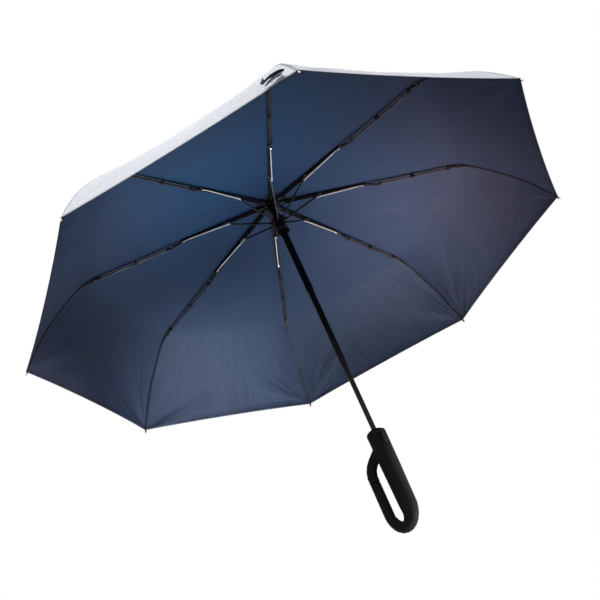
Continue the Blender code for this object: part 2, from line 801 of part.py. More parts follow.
def gate_window(seam):
    """The outline of the gap for the gate, grown all round by a seam."""
    inner = ARM_OFFSET - ARM_RADIUS * 1.5
    outer = ARM_OFFSET + ARM_RADIUS * 1.5
    slope = (GATE_NOSE_OUTER - GATE_NOSE_INNER) / (GATE_RADIUS * 2)
    reach = ARM_RADIUS * 1.5
    middle = (GATE_NOSE_OUTER + GATE_NOSE_INNER) / 2 - seam
    return [
        (inner, middle - slope * reach),
        (outer, middle + slope * reach),
        (outer, GATE_TOP),
        (inner, GATE_TOP),
    ]


def button_outline(growth):
    """A long oval in the button's own plane, as (across, up)."""
    side = BUTTON_HALF_WIDTH + growth
    rise = BUTTON_HALF_LENGTH - BUTTON_HALF_WIDTH
    top = arc((0.0, BUTTON_HEIGHT + rise), side, 0.0, HALF_TURN, OVAL_STEPS)
    return top + arc((0.0, BUTTON_HEIGHT - rise), side, HALF_TURN, FULL_TURN, OVAL_STEPS)


def facing_button(mesh):
    """Turns a plate drawn in X and Z with its thickness along -Y to the button's side."""
    return moved(mesh, around(BUTTON_HEADING + RIGHT_ANGLE))


def handle_form():
    line, radii = grip_path()
    unit = [radius / ARM_RADIUS for radius in radii]
    grip = rod(line, ARM_RADIUS, FINE_STEPS, unit)
    arm = rod(list(ARM_PATH), ARM_RADIUS, FINE_STEPS)
    body = joined(grip, arm)
    hinge = (ARM_OFFSET, HINGE_HEIGHT)
    slot = strip([(ARM_OFFSET, GATE_TOP - GATE_RADIUS), hinge], [TONGUE_SLOT_RADIUS] * 2, SLOT_STEPS)
    slot_half = TONGUE_HALF_WIDTH + SIDE_CLEARANCE
    window = prism(gate_window(GATE_SEAM), -GATE_RADIUS * 2, GATE_RADIUS * 2)
    pin_hole = cross_pin(hinge, HINGE_PIN_RADIUS + PIN_CLEARANCE, -ARM_RADIUS * 2, ARM_RADIUS * 2, ROUND_STEPS)
    body = cut(body, window, prism(slot, -slot_half, slot_half), pin_hole)
    body = moved(body, around(LOOP_HEADING))
    pocket = prism(button_outline(SIDE_CLEARANCE), -GRIP_RIM_RADIUS * 2, -bore_to_pocket())
    bore = LOWER_TUBE_RADIUS + BORE_CLEARANCE
    floor = LOWER_TUBE_FOOT - BORE_CLEARANCE
    shaft_hole = turned_solid([(0.0, floor), (bore, floor), (bore, GRIP_TOP * 2), (0.0, GRIP_TOP * 2)])
    return cut(body, facing_button(pocket), shaft_hole, notch_cutters())


def bore_to_pocket():
    return BUTTON_ROOT - BUTTON_TRAVEL - SIDE_CLEARANCE


def notch_cutters():
    """Eight round notches in the shoulder of the grip, one for each rib's tip."""
    forms = []
    for _, turn in rib_headings():
        low = GRIP_TOP - NOTCH_DEPTH
        notch = prism(circle((0.0, 0.0), NOTCH_RADIUS, ROUND_STEPS), low, GRIP_TOP * 2)
        upright = moved(notch, Matrix.Rotation(math.radians(RIGHT_ANGLE), 4, "X"))
        forms.append(moved(upright, around(turn) @ Matrix.Translation((NOTCH_RUN, 0.0, 0.0))))
    return merged(forms)


def gate_form():
    """Seen from the hinge pin, in the loop's plane."""
    relief = GATE_TOP - GATE_SEAM
    inner, outer = ARM_OFFSET - GATE_RADIUS * 1.5, ARM_OFFSET + GATE_RADIUS * 1.5
    nose = gate_window(0.0)
    outline = [nose[0], nose[1], (outer, relief), (inner, relief - GATE_TOP_RELIEF * 1.5)]
    bar = rod([(ARM_OFFSET, GATE_TOP * 3), (ARM_OFFSET, 0.0)], GATE_RADIUS, FINE_STEPS)
    shaped = combined(bar, [prism(outline, -GATE_RADIUS * 2, GATE_RADIUS * 2)], "INTERSECT")
    hinge = (ARM_OFFSET, HINGE_HEIGHT)
    root = (ARM_OFFSET, GATE_TOP - GATE_RADIUS)
    tongue = prism(strip([root, hinge], [TONGUE_RADIUS] * 2, SLOT_STEPS), -TONGUE_HALF_WIDTH, TONGUE_HALF_WIDTH)
    pin_hole = cross_pin(hinge, HINGE_PIN_RADIUS + PIN_CLEARANCE, -ARM_RADIUS * 2, ARM_RADIUS * 2, ROUND_STEPS)
    made = cut(joined(shaped, tongue), pin_hole)
    return moved(made, Matrix.Translation((-ARM_OFFSET, 0.0, -HINGE_HEIGHT)))


def button_form():
    """Seen from the axis of the shaft, with its outer edge eased."""
    body = prism(button_outline(0.0), -BUTTON_FACE + BUTTON_EASE, -BUTTON_ROOT)
    crown = prism(button_outline(-BUTTON_EASE), -BUTTON_FACE, -BUTTON_FACE + BUTTON_EASE * 2)
    return facing_button(joined(body, crown))


def cloth_line():
    """The inner face of the cloth above a rib, from the hub to the hem."""
    line = [(CLOTH_HOLE_RADIUS, CROWN_PIVOT_HEIGHT + CROWN_DISC_HALF + CLOTH_CLEARANCE)]
    brim = (CROWN_DISC_RADIUS + CLOTH_BRIM, line[0][1])
    knee = (KNEE[0], KNEE[1] + CLOTH_OVER_JOINT)
    elbow = (ELBOW[0], ELBOW[1] + CLOTH_OVER_ELBOW)
    line += [brim] + spaced(brim, knee, INNER_ROW_SHARES) + [knee]
    line += spaced(knee, elbow, MIDDLE_ROW_SHARES) + [elbow]
    rod_line = [(ELBOW[0] + x, ELBOW[1] + z) for x, z in outer_rib_line()]
    for step in range(1, len(rod_line) - 1):
        fall = (OUTER_RIB_FALLS[step - 1] + OUTER_RIB_FALLS[step]) / 2
        line.append(shifted(rod_line[step], CLOTH_OVER_ROD, RIGHT_ANGLE - fall))
    last = -OUTER_RIB_FALLS[-1]
    corner = shifted(rod_line[-1], -CLOTH_SHORT_OF_TIP, last)
    line.append(shifted(corner, CLOTH_OVER_ROD, last + RIGHT_ANGLE))
    return line


def spaced(start, end, shares):
    """Points between two ends, at shares of the way."""
    found = []
    for share in shares:
        across = start[0] + (end[0] - start[0]) * share
        found.append((across, start[1] + (end[1] - start[1]) * share))
    return found


def line_shares(line):
    """How far along a line each of its points lies, from 0 to 1."""
    lengths = [0.0]
    for start, end in zip(line, line[1:]):
        lengths.append(lengths[-1] + math.dist(start, end))
    return [length / lengths[-1] for length in lengths]


def canopy_form():
    """Eight gores stretched between the ribs, one quad net round the shaft."""
    line = cloth_line()
    columns = RIB_COUNT * GORE_STEPS
    gore = 2 * math.pi / RIB_COUNT
    points = []
    for (radius, height), along in zip(line, line_shares(line)):
        hem = HEM_SAG * (radius / line[-1][0]) ** SAG_POWER
        belly = BELLY_SAG * math.sin(math.pi * along**BELLY_POWER)
        for column in range(columns):
            number, step = divmod(column, GORE_STEPS)
            left = Vector((math.cos(number * gore), math.sin(number * gore), 0.0))
            right = Vector((math.cos((number + 1) * gore), math.sin((number + 1) * gore), 0.0))
            way = step / GORE_STEPS
            middle = (left + right).normalized()
            slack = 1.0 - abs(2 * way - 1.0) ** SAG_CURVE
            flat = left.lerp(right, way) * radius - middle * hem * slack
            points.append((flat.x, flat.y, height - belly * slack))
    faces = []
    for row in range(len(line) - 1):
        for column in range(columns):
            after = (column + 1) % columns
            low, high = row * columns, (row + 1) * columns
            faces.append((low + column, high + column, high + after, low + after))
    made = bpy.data.meshes.new("cloth")
    made.from_pydata(points, [], faces)
    return made


def strap_form():
    """A ribbon that leaves the hem and curls back, drawn with X along the hem."""
    half, thin = STRAP_WIDTH / 2, STRAP_THICKNESS / 2
    section = [(-half, -thin), (half, -thin), (half, thin), (-half, thin)]
    ribbon = sweep(list(STRAP_PATH), section)
    slope = heading(*cloth_line()[-2:])
    lean = Matrix.Rotation(math.radians(-slope - RIGHT_ANGLE), 4, "X")
    return moved(ribbon, around(STRAP_HEADING - RIGHT_ANGLE) @ lean)


def strap_start():
    """The point where the strap leaves the outer face of the cloth."""
    inner, hem = cloth_line()[-2:]
    slope = heading(inner, hem)
    on_face = shifted(hem, -STRAP_ABOVE_HEM, slope)
    lift = CLOTH_THICKNESS + STRAP_CLEARANCE
    radius, height = shifted(on_face, lift, slope + RIGHT_ANGLE)
    return (radius, 0.0, height)


def build():
    for old in list(bpy.data.objects):
        bpy.data.objects.remove(old)
    black_plastic = colour("black_plastic", (0.016, 0.015, 0.017), 0.5, 0.0)
    soft_plastic = colour("soft_plastic", (0.013, 0.013, 0.015), 0.62, 0.0)
    button_plastic = colour("button_plastic", (0.022, 0.021, 0.024), 0.4, 0.0)
    black_steel = colour("black_steel", (0.02, 0.018, 0.018), 0.35, 0.7)
    brown_steel = colour("brown_steel", (0.085, 0.06, 0.05), 0.38, 0.8)
    bright_steel = colour("bright_steel", (0.62, 0.58, 0.55), 0.25, 1.0)
    black_rod = colour("black_rod", (0.03, 0.026, 0.027), 0.45, 0.2)
    shaft_paint = colour("shaft_paint", (0.018, 0.014, 0.015), 0.3, 0.6)
    navy_cloth = colour("navy_cloth", (0.022, 0.045, 0.105), 0.8, 0.0)
    strap_cloth = colour("strap_cloth", (0.55, 0.56, 0.58), 0.8, 0.0)

    hinge = (ARM_OFFSET, 0.0, HINGE_HEIGHT)
    place("handle_body", handle_form(), soft_plastic)
    place("gate", gate_form(), soft_plastic, hinge, LOOP_HEADING)
    pin = cross_pin((0.0, 0.0), HINGE_PIN_RADIUS, -HINGE_PIN_HALF, HINGE_PIN_HALF, ROUND_STEPS)
    place("gate_pin", pin, bright_steel, hinge, LOOP_HEADING)
    place("release_button", button_form(), button_plastic)

    middle_bore = LOWER_TUBE_RADIUS + TUBE_CLEARANCE
    top_bore = MIDDLE_TUBE_RADIUS + TUBE_CLEARANCE
    lower_top = MIDDLE_TUBE_FOOT + TUBE_OVERLAP
    middle_top = TOP_TUBE_FOOT + TUBE_OVERLAP
    crown_floor = CROWN_PIVOT_HEIGHT + SLOT_ROOF - TUBE_CLEARANCE
    lower = tube_form(LOWER_TUBE_RADIUS, LOWER_TUBE_BORE, LOWER_TUBE_FOOT, lower_top, False)
    middle = tube_form(MIDDLE_TUBE_RADIUS, middle_bore, MIDDLE_TUBE_FOOT, middle_top, True)
    top = tube_form(TOP_TUBE_RADIUS, top_bore, TOP_TUBE_FOOT, crown_floor, True)
    place("lower_tube", lower, shaft_paint)
    place("middle_tube", middle, shaft_paint)
    place("top_tube", top, shaft_paint)

    place("crown", crown_form(), black_plastic, (0.0, 0.0, CROWN_PIVOT_HEIGHT))
    place("runner", runner_form(), black_plastic, (0.0, 0.0, RUNNER_PIVOT_HEIGHT))
    cloth_top = cloth_line()[0][1] + CLOTH_THICKNESS
    place("cap", cap_form(), black_plastic, (0.0, 0.0, cloth_top + CLOTH_CLEARANCE))

    ribs = [
        ("top_rib", top_rib_form(), black_steel, CROWN_PIVOT),
        ("stretcher", stretcher_form(), black_steel, STRETCHER_PIVOT),
        ("link_bar", link_form(), bright_steel, LINK_START),
        ("middle_rib", middle_rib_form(), brown_steel, KNEE),
        ("pull_wire", pull_wire_form(), bright_steel, KNEE),
        ("outer_rib", outer_rib_form(), black_rod, ELBOW),
    ]
    for kind, form, material, pivot in ribs:
        for number, turn in rib_headings():
            place(f"{kind}_{number}", form, material, (pivot[0], 0.0, pivot[1]), turn)

    canopy = place("canopy", canopy_form(), navy_cloth)
    thickness = canopy.modifiers.new("thickness", "SOLIDIFY")
    thickness.thickness = CLOTH_THICKNESS
    thickness.offset = 1.0
    thickness.use_even_offset = True
    strap = place("tie_strap", strap_form(), strap_cloth)
    strap.location = around(STRAP_HEADING) @ Vector(strap_start())
    for leftover in [mesh for mesh in bpy.data.meshes if not mesh.users]:
        bpy.data.meshes.remove(leftover)


build()
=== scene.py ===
# Compact umbrella in three folds with a carabiner handle, open and seen from below. The packed
# model brings the mechanism, and each section adds the finish, cloth or trim of its pieces.
import json
import math
import random

import bmesh
import bpy
from mathutils import Matrix, Vector

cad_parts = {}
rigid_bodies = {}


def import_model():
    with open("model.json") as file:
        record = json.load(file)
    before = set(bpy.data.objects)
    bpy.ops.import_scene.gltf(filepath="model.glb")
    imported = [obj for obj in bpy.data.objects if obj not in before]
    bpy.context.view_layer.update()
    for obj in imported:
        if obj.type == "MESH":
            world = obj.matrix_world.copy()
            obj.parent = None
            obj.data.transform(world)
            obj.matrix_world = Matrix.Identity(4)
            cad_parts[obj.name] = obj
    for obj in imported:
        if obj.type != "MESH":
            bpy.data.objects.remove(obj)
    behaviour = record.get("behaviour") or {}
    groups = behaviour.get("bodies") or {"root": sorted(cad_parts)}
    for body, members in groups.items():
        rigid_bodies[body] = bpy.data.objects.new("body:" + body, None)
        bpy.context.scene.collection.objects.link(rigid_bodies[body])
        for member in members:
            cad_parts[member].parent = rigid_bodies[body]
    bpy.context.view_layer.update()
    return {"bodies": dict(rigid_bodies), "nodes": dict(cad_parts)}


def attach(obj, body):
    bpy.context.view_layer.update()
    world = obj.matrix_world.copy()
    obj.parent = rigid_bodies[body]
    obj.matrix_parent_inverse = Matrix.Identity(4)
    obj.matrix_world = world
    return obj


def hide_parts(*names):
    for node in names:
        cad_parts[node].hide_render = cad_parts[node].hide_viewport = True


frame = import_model()
nodes = frame["nodes"]
bodies = frame["bodies"]

# Shaft: three thin steel tubes that slide in one another, enamelled black. The lowest sits in the
# bore of the grip, and the top one in the socket of the crown.
rib_count = 8
rib_turn = 2 * math.pi / rib_count


class Wire:
    """A node socket that can be added, multiplied and mixed like a number."""

    def __init__(self, tree, socket=None):
        self.tree = tree
        self.socket = socket

    def fill(self, target, value):
        """Links a wire to a socket, or sets the socket to a plain value."""
        if isinstance(value, Wire):
            self.tree.links.new(value.socket, target)
        else:
            target.default_value = value

    def node(self, kind, settings=None, **sockets):
        """Any node, by its type, its settings and what goes into its sockets."""
        made = self.tree.nodes.new(kind if "Node" in kind else "ShaderNode" + kind)
        for name, value in (settings or {}).items():
            setattr(made, name, value)
        for name, value in sockets.items():
            self.fill(made.inputs[name.replace("_", " ")], value)
        return made

    def of(self, made, output=0):
        """A wire from one output of a node."""
        return Wire(self.tree, made.outputs[output])

    def feed(self, made, *values):
        """Fills a node's sockets in their order, and gives its first output."""
        for target, value in zip(made.inputs, values):
            self.fill(target, value)
        return self.of(made)

    def maths(self, operation, *values):
        """A Math node on wires or numbers."""
        return self.feed(self.node("Math", {"operation": operation}), *values)

    def call(self, operation, *values):
        """A Math node that starts with this wire."""
        return self.maths(operation, self, *values)

    def __add__(self, other):
        return self.maths("ADD", self, other)

    def __sub__(self, other):
        return self.maths("SUBTRACT", self, other)

    def __mul__(self, other):
        return self.maths("MULTIPLY", self, other)

    def __truediv__(self, other):
        return self.maths("DIVIDE", self, other)

    def __rsub__(self, other):
        return self.maths("SUBTRACT", other, self)

    def __rtruediv__(self, other):
        return self.maths("DIVIDE", other, self)

    __radd__ = __add__
    __rmul__ = __mul__

    def rise(self, low, high):
        """0 up to low and 1 from high on, with a soft step between."""
        made = self.node("MapRange", {"interpolation_type": "SMOOTHSTEP"})
        return self.feed(made, self, low, high, 0.0, 1.0)

    def lerp(self, low, high):
        """The number low where this is 0, and high where it is 1."""
        return (high - low) * self + low

    def mix(self, low, high):
        """The colour low where this is 0, and high where it is 1."""
        made = self.node("Mix", {"data_type": "RGBA"})
        self.fill(made.inputs[0], self)
        for target, value in zip((made.inputs[6], made.inputs[7]), (low, high)):
            self.fill(target, value if isinstance(value, Wire) else (*value, 1.0))
        return self.of(made, 2)

    def between(self, low, high):
        """The place low where this is 0, and high where it is 1."""
        made = self.node("Mix", {"data_type": "VECTOR"})
        self.fill(made.inputs[0], self)
        self.fill(made.inputs[4], low)
        self.fill(made.inputs[5], high)
        return self.of(made, 1)

    def point(self, x, y, z):
        """A place from its three parts."""
        return self.of(self.node("CombineXYZ", X=x, Y=y, Z=z))

    def parts(self):
        """The three parts of a place."""
        made = self.node("SeparateXYZ", Vector=self)
        return [self.of(made, axis) for axis in range(3)]

    def times(self, colour, share):
        """A colour made darker or lighter by a share."""
        made = self.node("VectorMath", {"operation": "MULTIPLY"})
        return self.feed(made, colour, self.point(share, share, share))

    def noise(self, place, scale, detail=2.0, roughness=0.5):
        """A cloudy pattern from 0 to 1."""
        return self.of(
            self.node("TexNoise", Vector=place, Scale=scale, Detail=detail, Roughness=roughness)
        )

    def bump(self, height, strength, distance, under=None):
        """A normal from a height, on top of the normal under it."""
        made = self.node("Bump", Strength=strength, Distance=distance, Height=height)
        if under:
            self.fill(made.inputs["Normal"], under)
        return self.of(made)

    def spot(self):
        """The place of the point on its object."""
        return self.of(self.node("TexCoord"), "Object")


def surface(name, rgb, roughness, metallic=0.0, **sockets):
    """A material with its Principled shader, and a wire to build on."""
    made = bpy.data.materials.new(name)
    made.use_nodes = True
    shader = made.node_tree.nodes["Principled BSDF"]
    start = Wire(made.node_tree)
    start.fill(shader.inputs["Base Color"], (*rgb, 1.0))
    start.fill(shader.inputs["Roughness"], roughness)
    start.fill(shader.inputs["Metallic"], metallic)
    for key, value in sockets.items():
        start.fill(shader.inputs[key.replace("_", " ")], value)
    return made, shader, start


def measures(wire):
    """Where a point lies on a rib: out from the shaft, up, and to the side of the rib."""
    across, deep, up = wire.spot().parts()
    turn = deep.call("ARCTAN2", across).call("WRAP", rib_turn / 2, -rib_turn / 2)
    out = (across * across + deep * deep).call("SQRT")
    return out, up, turn.call("SINE") * out


def ring_at(out, up, place, size):
    """1 inside a round spot of that radius on the side of a rib."""
    level, height = out - place[0], up - place[1]
    return 1.0 - (level * level + height * height).call("SQRT").rise(size * 0.9, size * 1.05)


def painted(
    name, rgb, roughness, metallic, bare, spots=(), bright=None, clip=None, tip=None, gloss=0.5
):
    """Enamelled steel: rolled lines along it, worn specks and bare rivets at spots.

    Its sides are bright plate between the first two values of bright, about the line between
    its two points. It is black between the values of clip, and bare from tip outwards.
    """
    rivet_radius, rivet_face = 0.0017, (0.0014, 0.0018)
    plate_end, plate_half, plate_side = 0.002, (0.0010, 0.0012), (0.00195, 0.00205)
    tip_edge, clip_edge, line_depth = 0.0004, 0.0002, 0.0002
    plate_rgb, clip_rgb = (1.0, 0.93, 0.92), (0.012, 0.010, 0.011)
    made, shader, wire = surface(name, rgb, roughness, metallic, Specular_IOR_Level=gloss)
    out, up, side = measures(wire)
    place = wire.spot()
    cloud = wire.noise(place, 60.0, 4.0)
    lines = wire.noise(wire.point(out * 30, up * 30, side * 2500), 1.0)
    worn = wire.noise(place, 420.0, 3.0).rise(0.66, 0.74) * 0.5
    for spot in spots:
        face = side.call("ABSOLUTE").rise(*rivet_face)
        worn = worn.call("MAXIMUM", ring_at(out, up, spot, rivet_radius) * face)
    if tip:
        worn = worn.call("MAXIMUM", out.rise(tip, tip + tip_edge))
    tint = worn.mix(rgb, bare)
    if bright:
        first, last, (near, near_up), (far, far_up) = bright
        plate = out.rise(first, first + plate_end) - out.rise(last - plate_end, last)
        centre = (out - near) * ((far_up - near_up) / (far - near)) + near_up
        plate = plate * (1.0 - (up - centre).call("ABSOLUTE").rise(*plate_half))
        plate = plate * side.call("ABSOLUTE").rise(*plate_side)
        tint = plate.mix(tint, plate_rgb)
    if clip:
        first, last = clip
        sleeve = out.rise(first, first + clip_edge) - out.rise(last, last + clip_edge)
        tint = sleeve.mix(tint, clip_rgb)
    shade = (cloud - 0.5) * 0.5 + (lines - 0.5) * 0.3 + 1.0
    wire.fill(shader.inputs["Base Color"], wire.times(tint, shade))
    wire.fill(shader.inputs["Roughness"], (lines - 0.5) * 0.2 - worn * 0.1 + roughness)
    wire.fill(shader.inputs["Metallic"], worn.lerp(metallic, 1.0))
    wire.fill(shader.inputs["Normal"], wire.bump(lines + cloud, 0.25, line_depth))
    return made


def dress(name, material):
    """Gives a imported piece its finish."""
    piece = nodes[name].data
    piece.materials.clear()
    piece.materials.append(material)


tube_black, tube_worn = (0.009, 0.006, 0.006), (0.05, 0.035, 0.03)
tube_paint = painted("tube_enamel", tube_black, 0.36, 0.0, tube_worn, gloss=0.12)
for name in ("lower_tube", "middle_tube", "top_tube"):
    dress(name, tube_paint)

# Crown, runner and cap: moulded in black plastic with a fine spark grain. The crown sits on the
# top tube, the cap closes it above the cloth, and the runner slides on the tube below it. The
# foot of the runner's bell is lighter and browner in a thin ring.
hub_black, rim_ring_height = (0.009, 0.007, 0.008), 0.0004


def plastic(name, rgb, roughness, grain, gloss, ring_below=-1.0):
    """Moulded plastic with a fine spark grain, slightly uneven in gloss and lighter at a low rim.
    """
    rim_edge, rim_ring_rgb, pore_depth = 0.0006, (0.08, 0.06, 0.052), 0.0002
    made, shader, wire = surface(name, rgb, roughness, Specular_IOR_Level=gloss)
    place = wire.spot()
    pores = wire.noise(place, 1500.0)
    cloud = wire.noise(place, 45.0, 3.0)
    tint = cloud.mix(rgb, tuple(value * 1.35 for value in rgb))
    # Below the given height the tint turns lighter and browner, in a thin ring at the foot.
    if ring_below > 0:
        rim = 1.0 - place.parts()[2].rise(ring_below, ring_below + rim_edge)
        tint = rim.mix(tint, rim_ring_rgb)
    wire.fill(shader.inputs["Base Color"], tint)
    wire.fill(shader.inputs["Roughness"], (cloud - 0.5) * 0.12 + roughness)
    wire.fill(shader.inputs["Normal"], wire.bump(pores, grain, pore_depth))
    return made


hub_plastic = plastic("hub_plastic", hub_black, 0.42, 0.2, 0.2)
for name in ("crown", "cap"):
    dress(name, hub_plastic)
bell_foot = min(v.co.z for v in nodes["runner"].data.vertices)
bell_plastic = plastic("bell_plastic", hub_black, 0.42, 0.2, 0.2, bell_foot + rim_ring_height)
dress("runner", bell_plastic)

# Handle: grip, bend and arm are one hard moulding under a soft black coating, rounded where they
# join. The button is glossier, and the gate turns on a black steel pin.
coat_black, button_black, pin_black = (0.0095, 0.0085, 0.0088), (0.009, 0.008, 0.0083), (0.004,) * 3
button_heading = math.radians(73.0)
button_travel, pocket_room, pocket_reach = 0.0024, 0.0004, 0.04
oval_steps = 32


def add_object(name, data):
    """Puts a new object into the scene."""
    made = bpy.data.objects.new(name, data)
    bpy.context.scene.collection.objects.link(made)
    return made


def face_outwards(mesh):
    """Turns the faces of a closed mesh outwards."""
    turned = bmesh.new()
    turned.from_mesh(mesh)
    bmesh.ops.recalc_face_normals(turned, faces=turned.faces)
    turned.to_mesh(mesh)
    turned.free()


grip_skin = plastic("grip_coating", coat_black, 0.5, 0.12, 0.02)
grip = add_object("handle_moulding", nodes["handle_body"].data.copy())
grip.data.materials.clear()
grip.data.materials.append(grip_skin)
mould = grip.modifiers.new("mould", "REMESH")
mould.mode = "VOXEL"
mould.voxel_size = 0.0008
mould.use_smooth_shade = True
ease = grip.modifiers.new("ease", "SMOOTH")
ease.iterations = 6

# The button's pocket is milled into the moulding again after that, as deep as the button goes.
press = Vector((math.cos(button_heading), math.sin(button_heading), 0))
beside_press = Vector((-press.y, press.x, 0))
button = [v.co for v in nodes["release_button"].data.vertices]
pocket_floor = min(point.dot(press) for point in button) - button_travel - pocket_room
half_wide = max(abs(point.dot(beside_press)) for point in button) + pocket_room
top, foot = max(point.z for point in button), min(point.z for point in button)
straight = (top - foot) / 2 + pocket_room - half_wide
oval = []
for step in range(oval_steps):
    turn = (step + 0.5) * 2 * math.pi / oval_steps
    lift = straight if math.sin(turn) > 0 else -straight
    oval.append((math.cos(turn) * half_wide, (top + foot) / 2 + lift + math.sin(turn) * half_wide))
pocket_points = [
    press * depth + beside_press * x + Vector((0, 0, z))
    for depth in (pocket_floor, pocket_reach)
    for x, z in oval
]
pocket_faces = [tuple(range(oval_steps)), tuple(reversed(range(oval_steps, 2 * oval_steps)))]
for step in range(oval_steps):
    after = (step + 1) % oval_steps
    pocket_faces.append((step, oval_steps + step, oval_steps + after, after))
cutter = bpy.data.meshes.new("pocket")
cutter.from_pydata(pocket_points, [], pocket_faces)
face_outwards(cutter)
milling = add_object("pocket", cutter)
mill = grip.modifiers.new("mill", "BOOLEAN")
mill.object = milling
mill.operation = "DIFFERENCE"
mill.solver = "EXACT"
settled = grip.evaluated_get(bpy.context.evaluated_depsgraph_get())
moulded = bpy.data.meshes.new_from_object(settled)
grip.modifiers.clear()
grip.data = moulded
moulded.set_sharp_from_angle(angle=math.radians(50))
bpy.data.objects.remove(milling)
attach(grip, "grip")
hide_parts("handle_body")
dress("gate", grip_skin)
dress("release_button", plastic("button_plastic", button_black, 0.36, 0.1, 0.08))
dress("gate_pin", plastic("pin_black", pin_black, 0.45, 0.1, 0.05))

# Ribs: channels and bars pressed from steel strip, enamelled black and joined by bright rivets.
# The link bars are plated, and so are the middle ribs between their ends. Places are given as
# out from the shaft and up.
copper = (0.72, 0.55, 0.46)
knee, elbow, hook = (0.17841, 0.49881), (0.35046, 0.47352), (0.011, 0.4765)
arm_eye, link_eye, tail_eye = (0.0908, 0.50715), (0.08427, 0.50464), (0.17252, 0.49904)
bar_start, bar_end = (0.1846, 0.49335), (0.34395, 0.4767)
plate_from, plate_to, clip_from, clip_to, rod_tip = 0.193, 0.336, 0.2595, 0.2685, 0.4885
plate = (plate_from, plate_to, bar_start, bar_end)
finishes = {
    "top_rib": painted("rib_enamel", (0.010, 0.008, 0.009), 0.34, 0.4, copper, (arm_eye, knee)),
    "stretcher": painted("arm_enamel", (0.016, 0.011, 0.010), 0.34, 0.5, copper, (hook, link_eye)),
    "link_bar": painted("link_plate", (0.96, 0.84, 0.80), 0.3, 0.6, (1.0, 0.9, 0.85)),
    "middle_rib": painted(
        "rib_plate", (0.040, 0.026, 0.022), 0.36, 0.6, copper, (tail_eye,), bright=plate
    ),
    "pull_wire": painted(
        "wire_brown", (0.11, 0.072, 0.056), 0.36, 0.6, copper, clip=(clip_from, clip_to)
    ),
    "outer_rib": painted(
        "rod_enamel", (0.016, 0.013, 0.013), 0.4, 0.1, copper, (elbow,), tip=rod_tip
    ),
}
for number in range(1, rib_count + 1):
    for bar, finish in finishes.items():
        dress(f"{bar}_{number}", finish)

# Canopy: one polyester sheet sewn from eight gores, navy inside and coated silver-white outside.
# The gores are felled together along the ribs, and the hem is turned up and stitched. It lies
# over the ribs, and the eight tips pull it tight.
hem_width, hem_step, seam_half, seam_step = 0.008, 0.0006, 0.0038, 0.0008
ply = 0.0002
row_count, column_count = 62, 56
half_gore = column_count // 2
hem_hollow, gore_belly, rod_drop = 0.0056, 0.0105, 0.0012
crease_height, crease_start, crease_fade, crease_waves = 0.0032, (0.012, 0.07), 0.075, 9.0
# Hem and hub tones of each side: the paler, bluer hub tone is painted light, the hem tone is the
# cloth's own.
navy, hub_lit_navy = (0.042, 0.048, 0.084), (0.024, 0.055, 0.125)
silver, hub_lit_silver = (0.74, 0.75, 0.78), (0.80, 0.81, 0.83)
shell_points = sorted(
    {
        (round(v.co.x, 5), round(v.co.z, 5))
        for v in nodes["canopy"].data.vertices
        if abs(v.co.y) < 1e-5 and v.co.x > 0
    },
    key=lambda point: point[0] - point[1],
)
cloth_line = [
    ((a[0] + b[0]) / 2, (a[1] + b[1]) / 2)
    for a, b in zip(shell_points[0::2], shell_points[1::2])
]
cloth_ends = [0.0]
for start, end in zip(cloth_line, cloth_line[1:]):
    cloth_ends.append(cloth_ends[-1] + math.dist(start, end))
cloth_length = cloth_ends[-1]
knee_along, elbow_along = cloth_ends[4], cloth_ends[7]


def cloth_at(along):
    """The rib's cloth line at a length from the hub: its point and its outward normal."""
    last = len(cloth_line) - 2
    span = min(last, next(n for n, end in enumerate(cloth_ends[1:]) if along <= end + 1e-9))
    ends = cloth_line[max(span - 1, 0)], cloth_line[span], cloth_line[span + 1]
    ends += (cloth_line[min(span + 2, last + 1)],)
    t = (along - cloth_ends[span]) / (cloth_ends[span + 1] - cloth_ends[span])
    here, slope = [], []
    for before, low, high, after in zip(*ends):
        back, ahead = (high - before) / 2, (after - low) / 2
        lift, bend = 3 * (high - low) - 2 * back - ahead, back + ahead - 2 * (high - low)
        here.append(low + t * (back + t * (lift + t * bend)))
        slope.append(back + t * (2 * lift + 3 * t * bend))
    size = math.hypot(*slope)
    return here, (-slope[1] / size, slope[0] / size)


def soft_step(value, low, high):
    """0 below low, 1 above high, and smooth in between."""
    share = max(0.0, min(1.0, (value - low) / (high - low)))
    return share * share * (3 - 2 * share)


def heading(turns):
    """The level direction of a rib, counted from the first one at 0."""
    return Vector((math.cos(turns * rib_turn), math.sin(turns * rib_turn), 0))


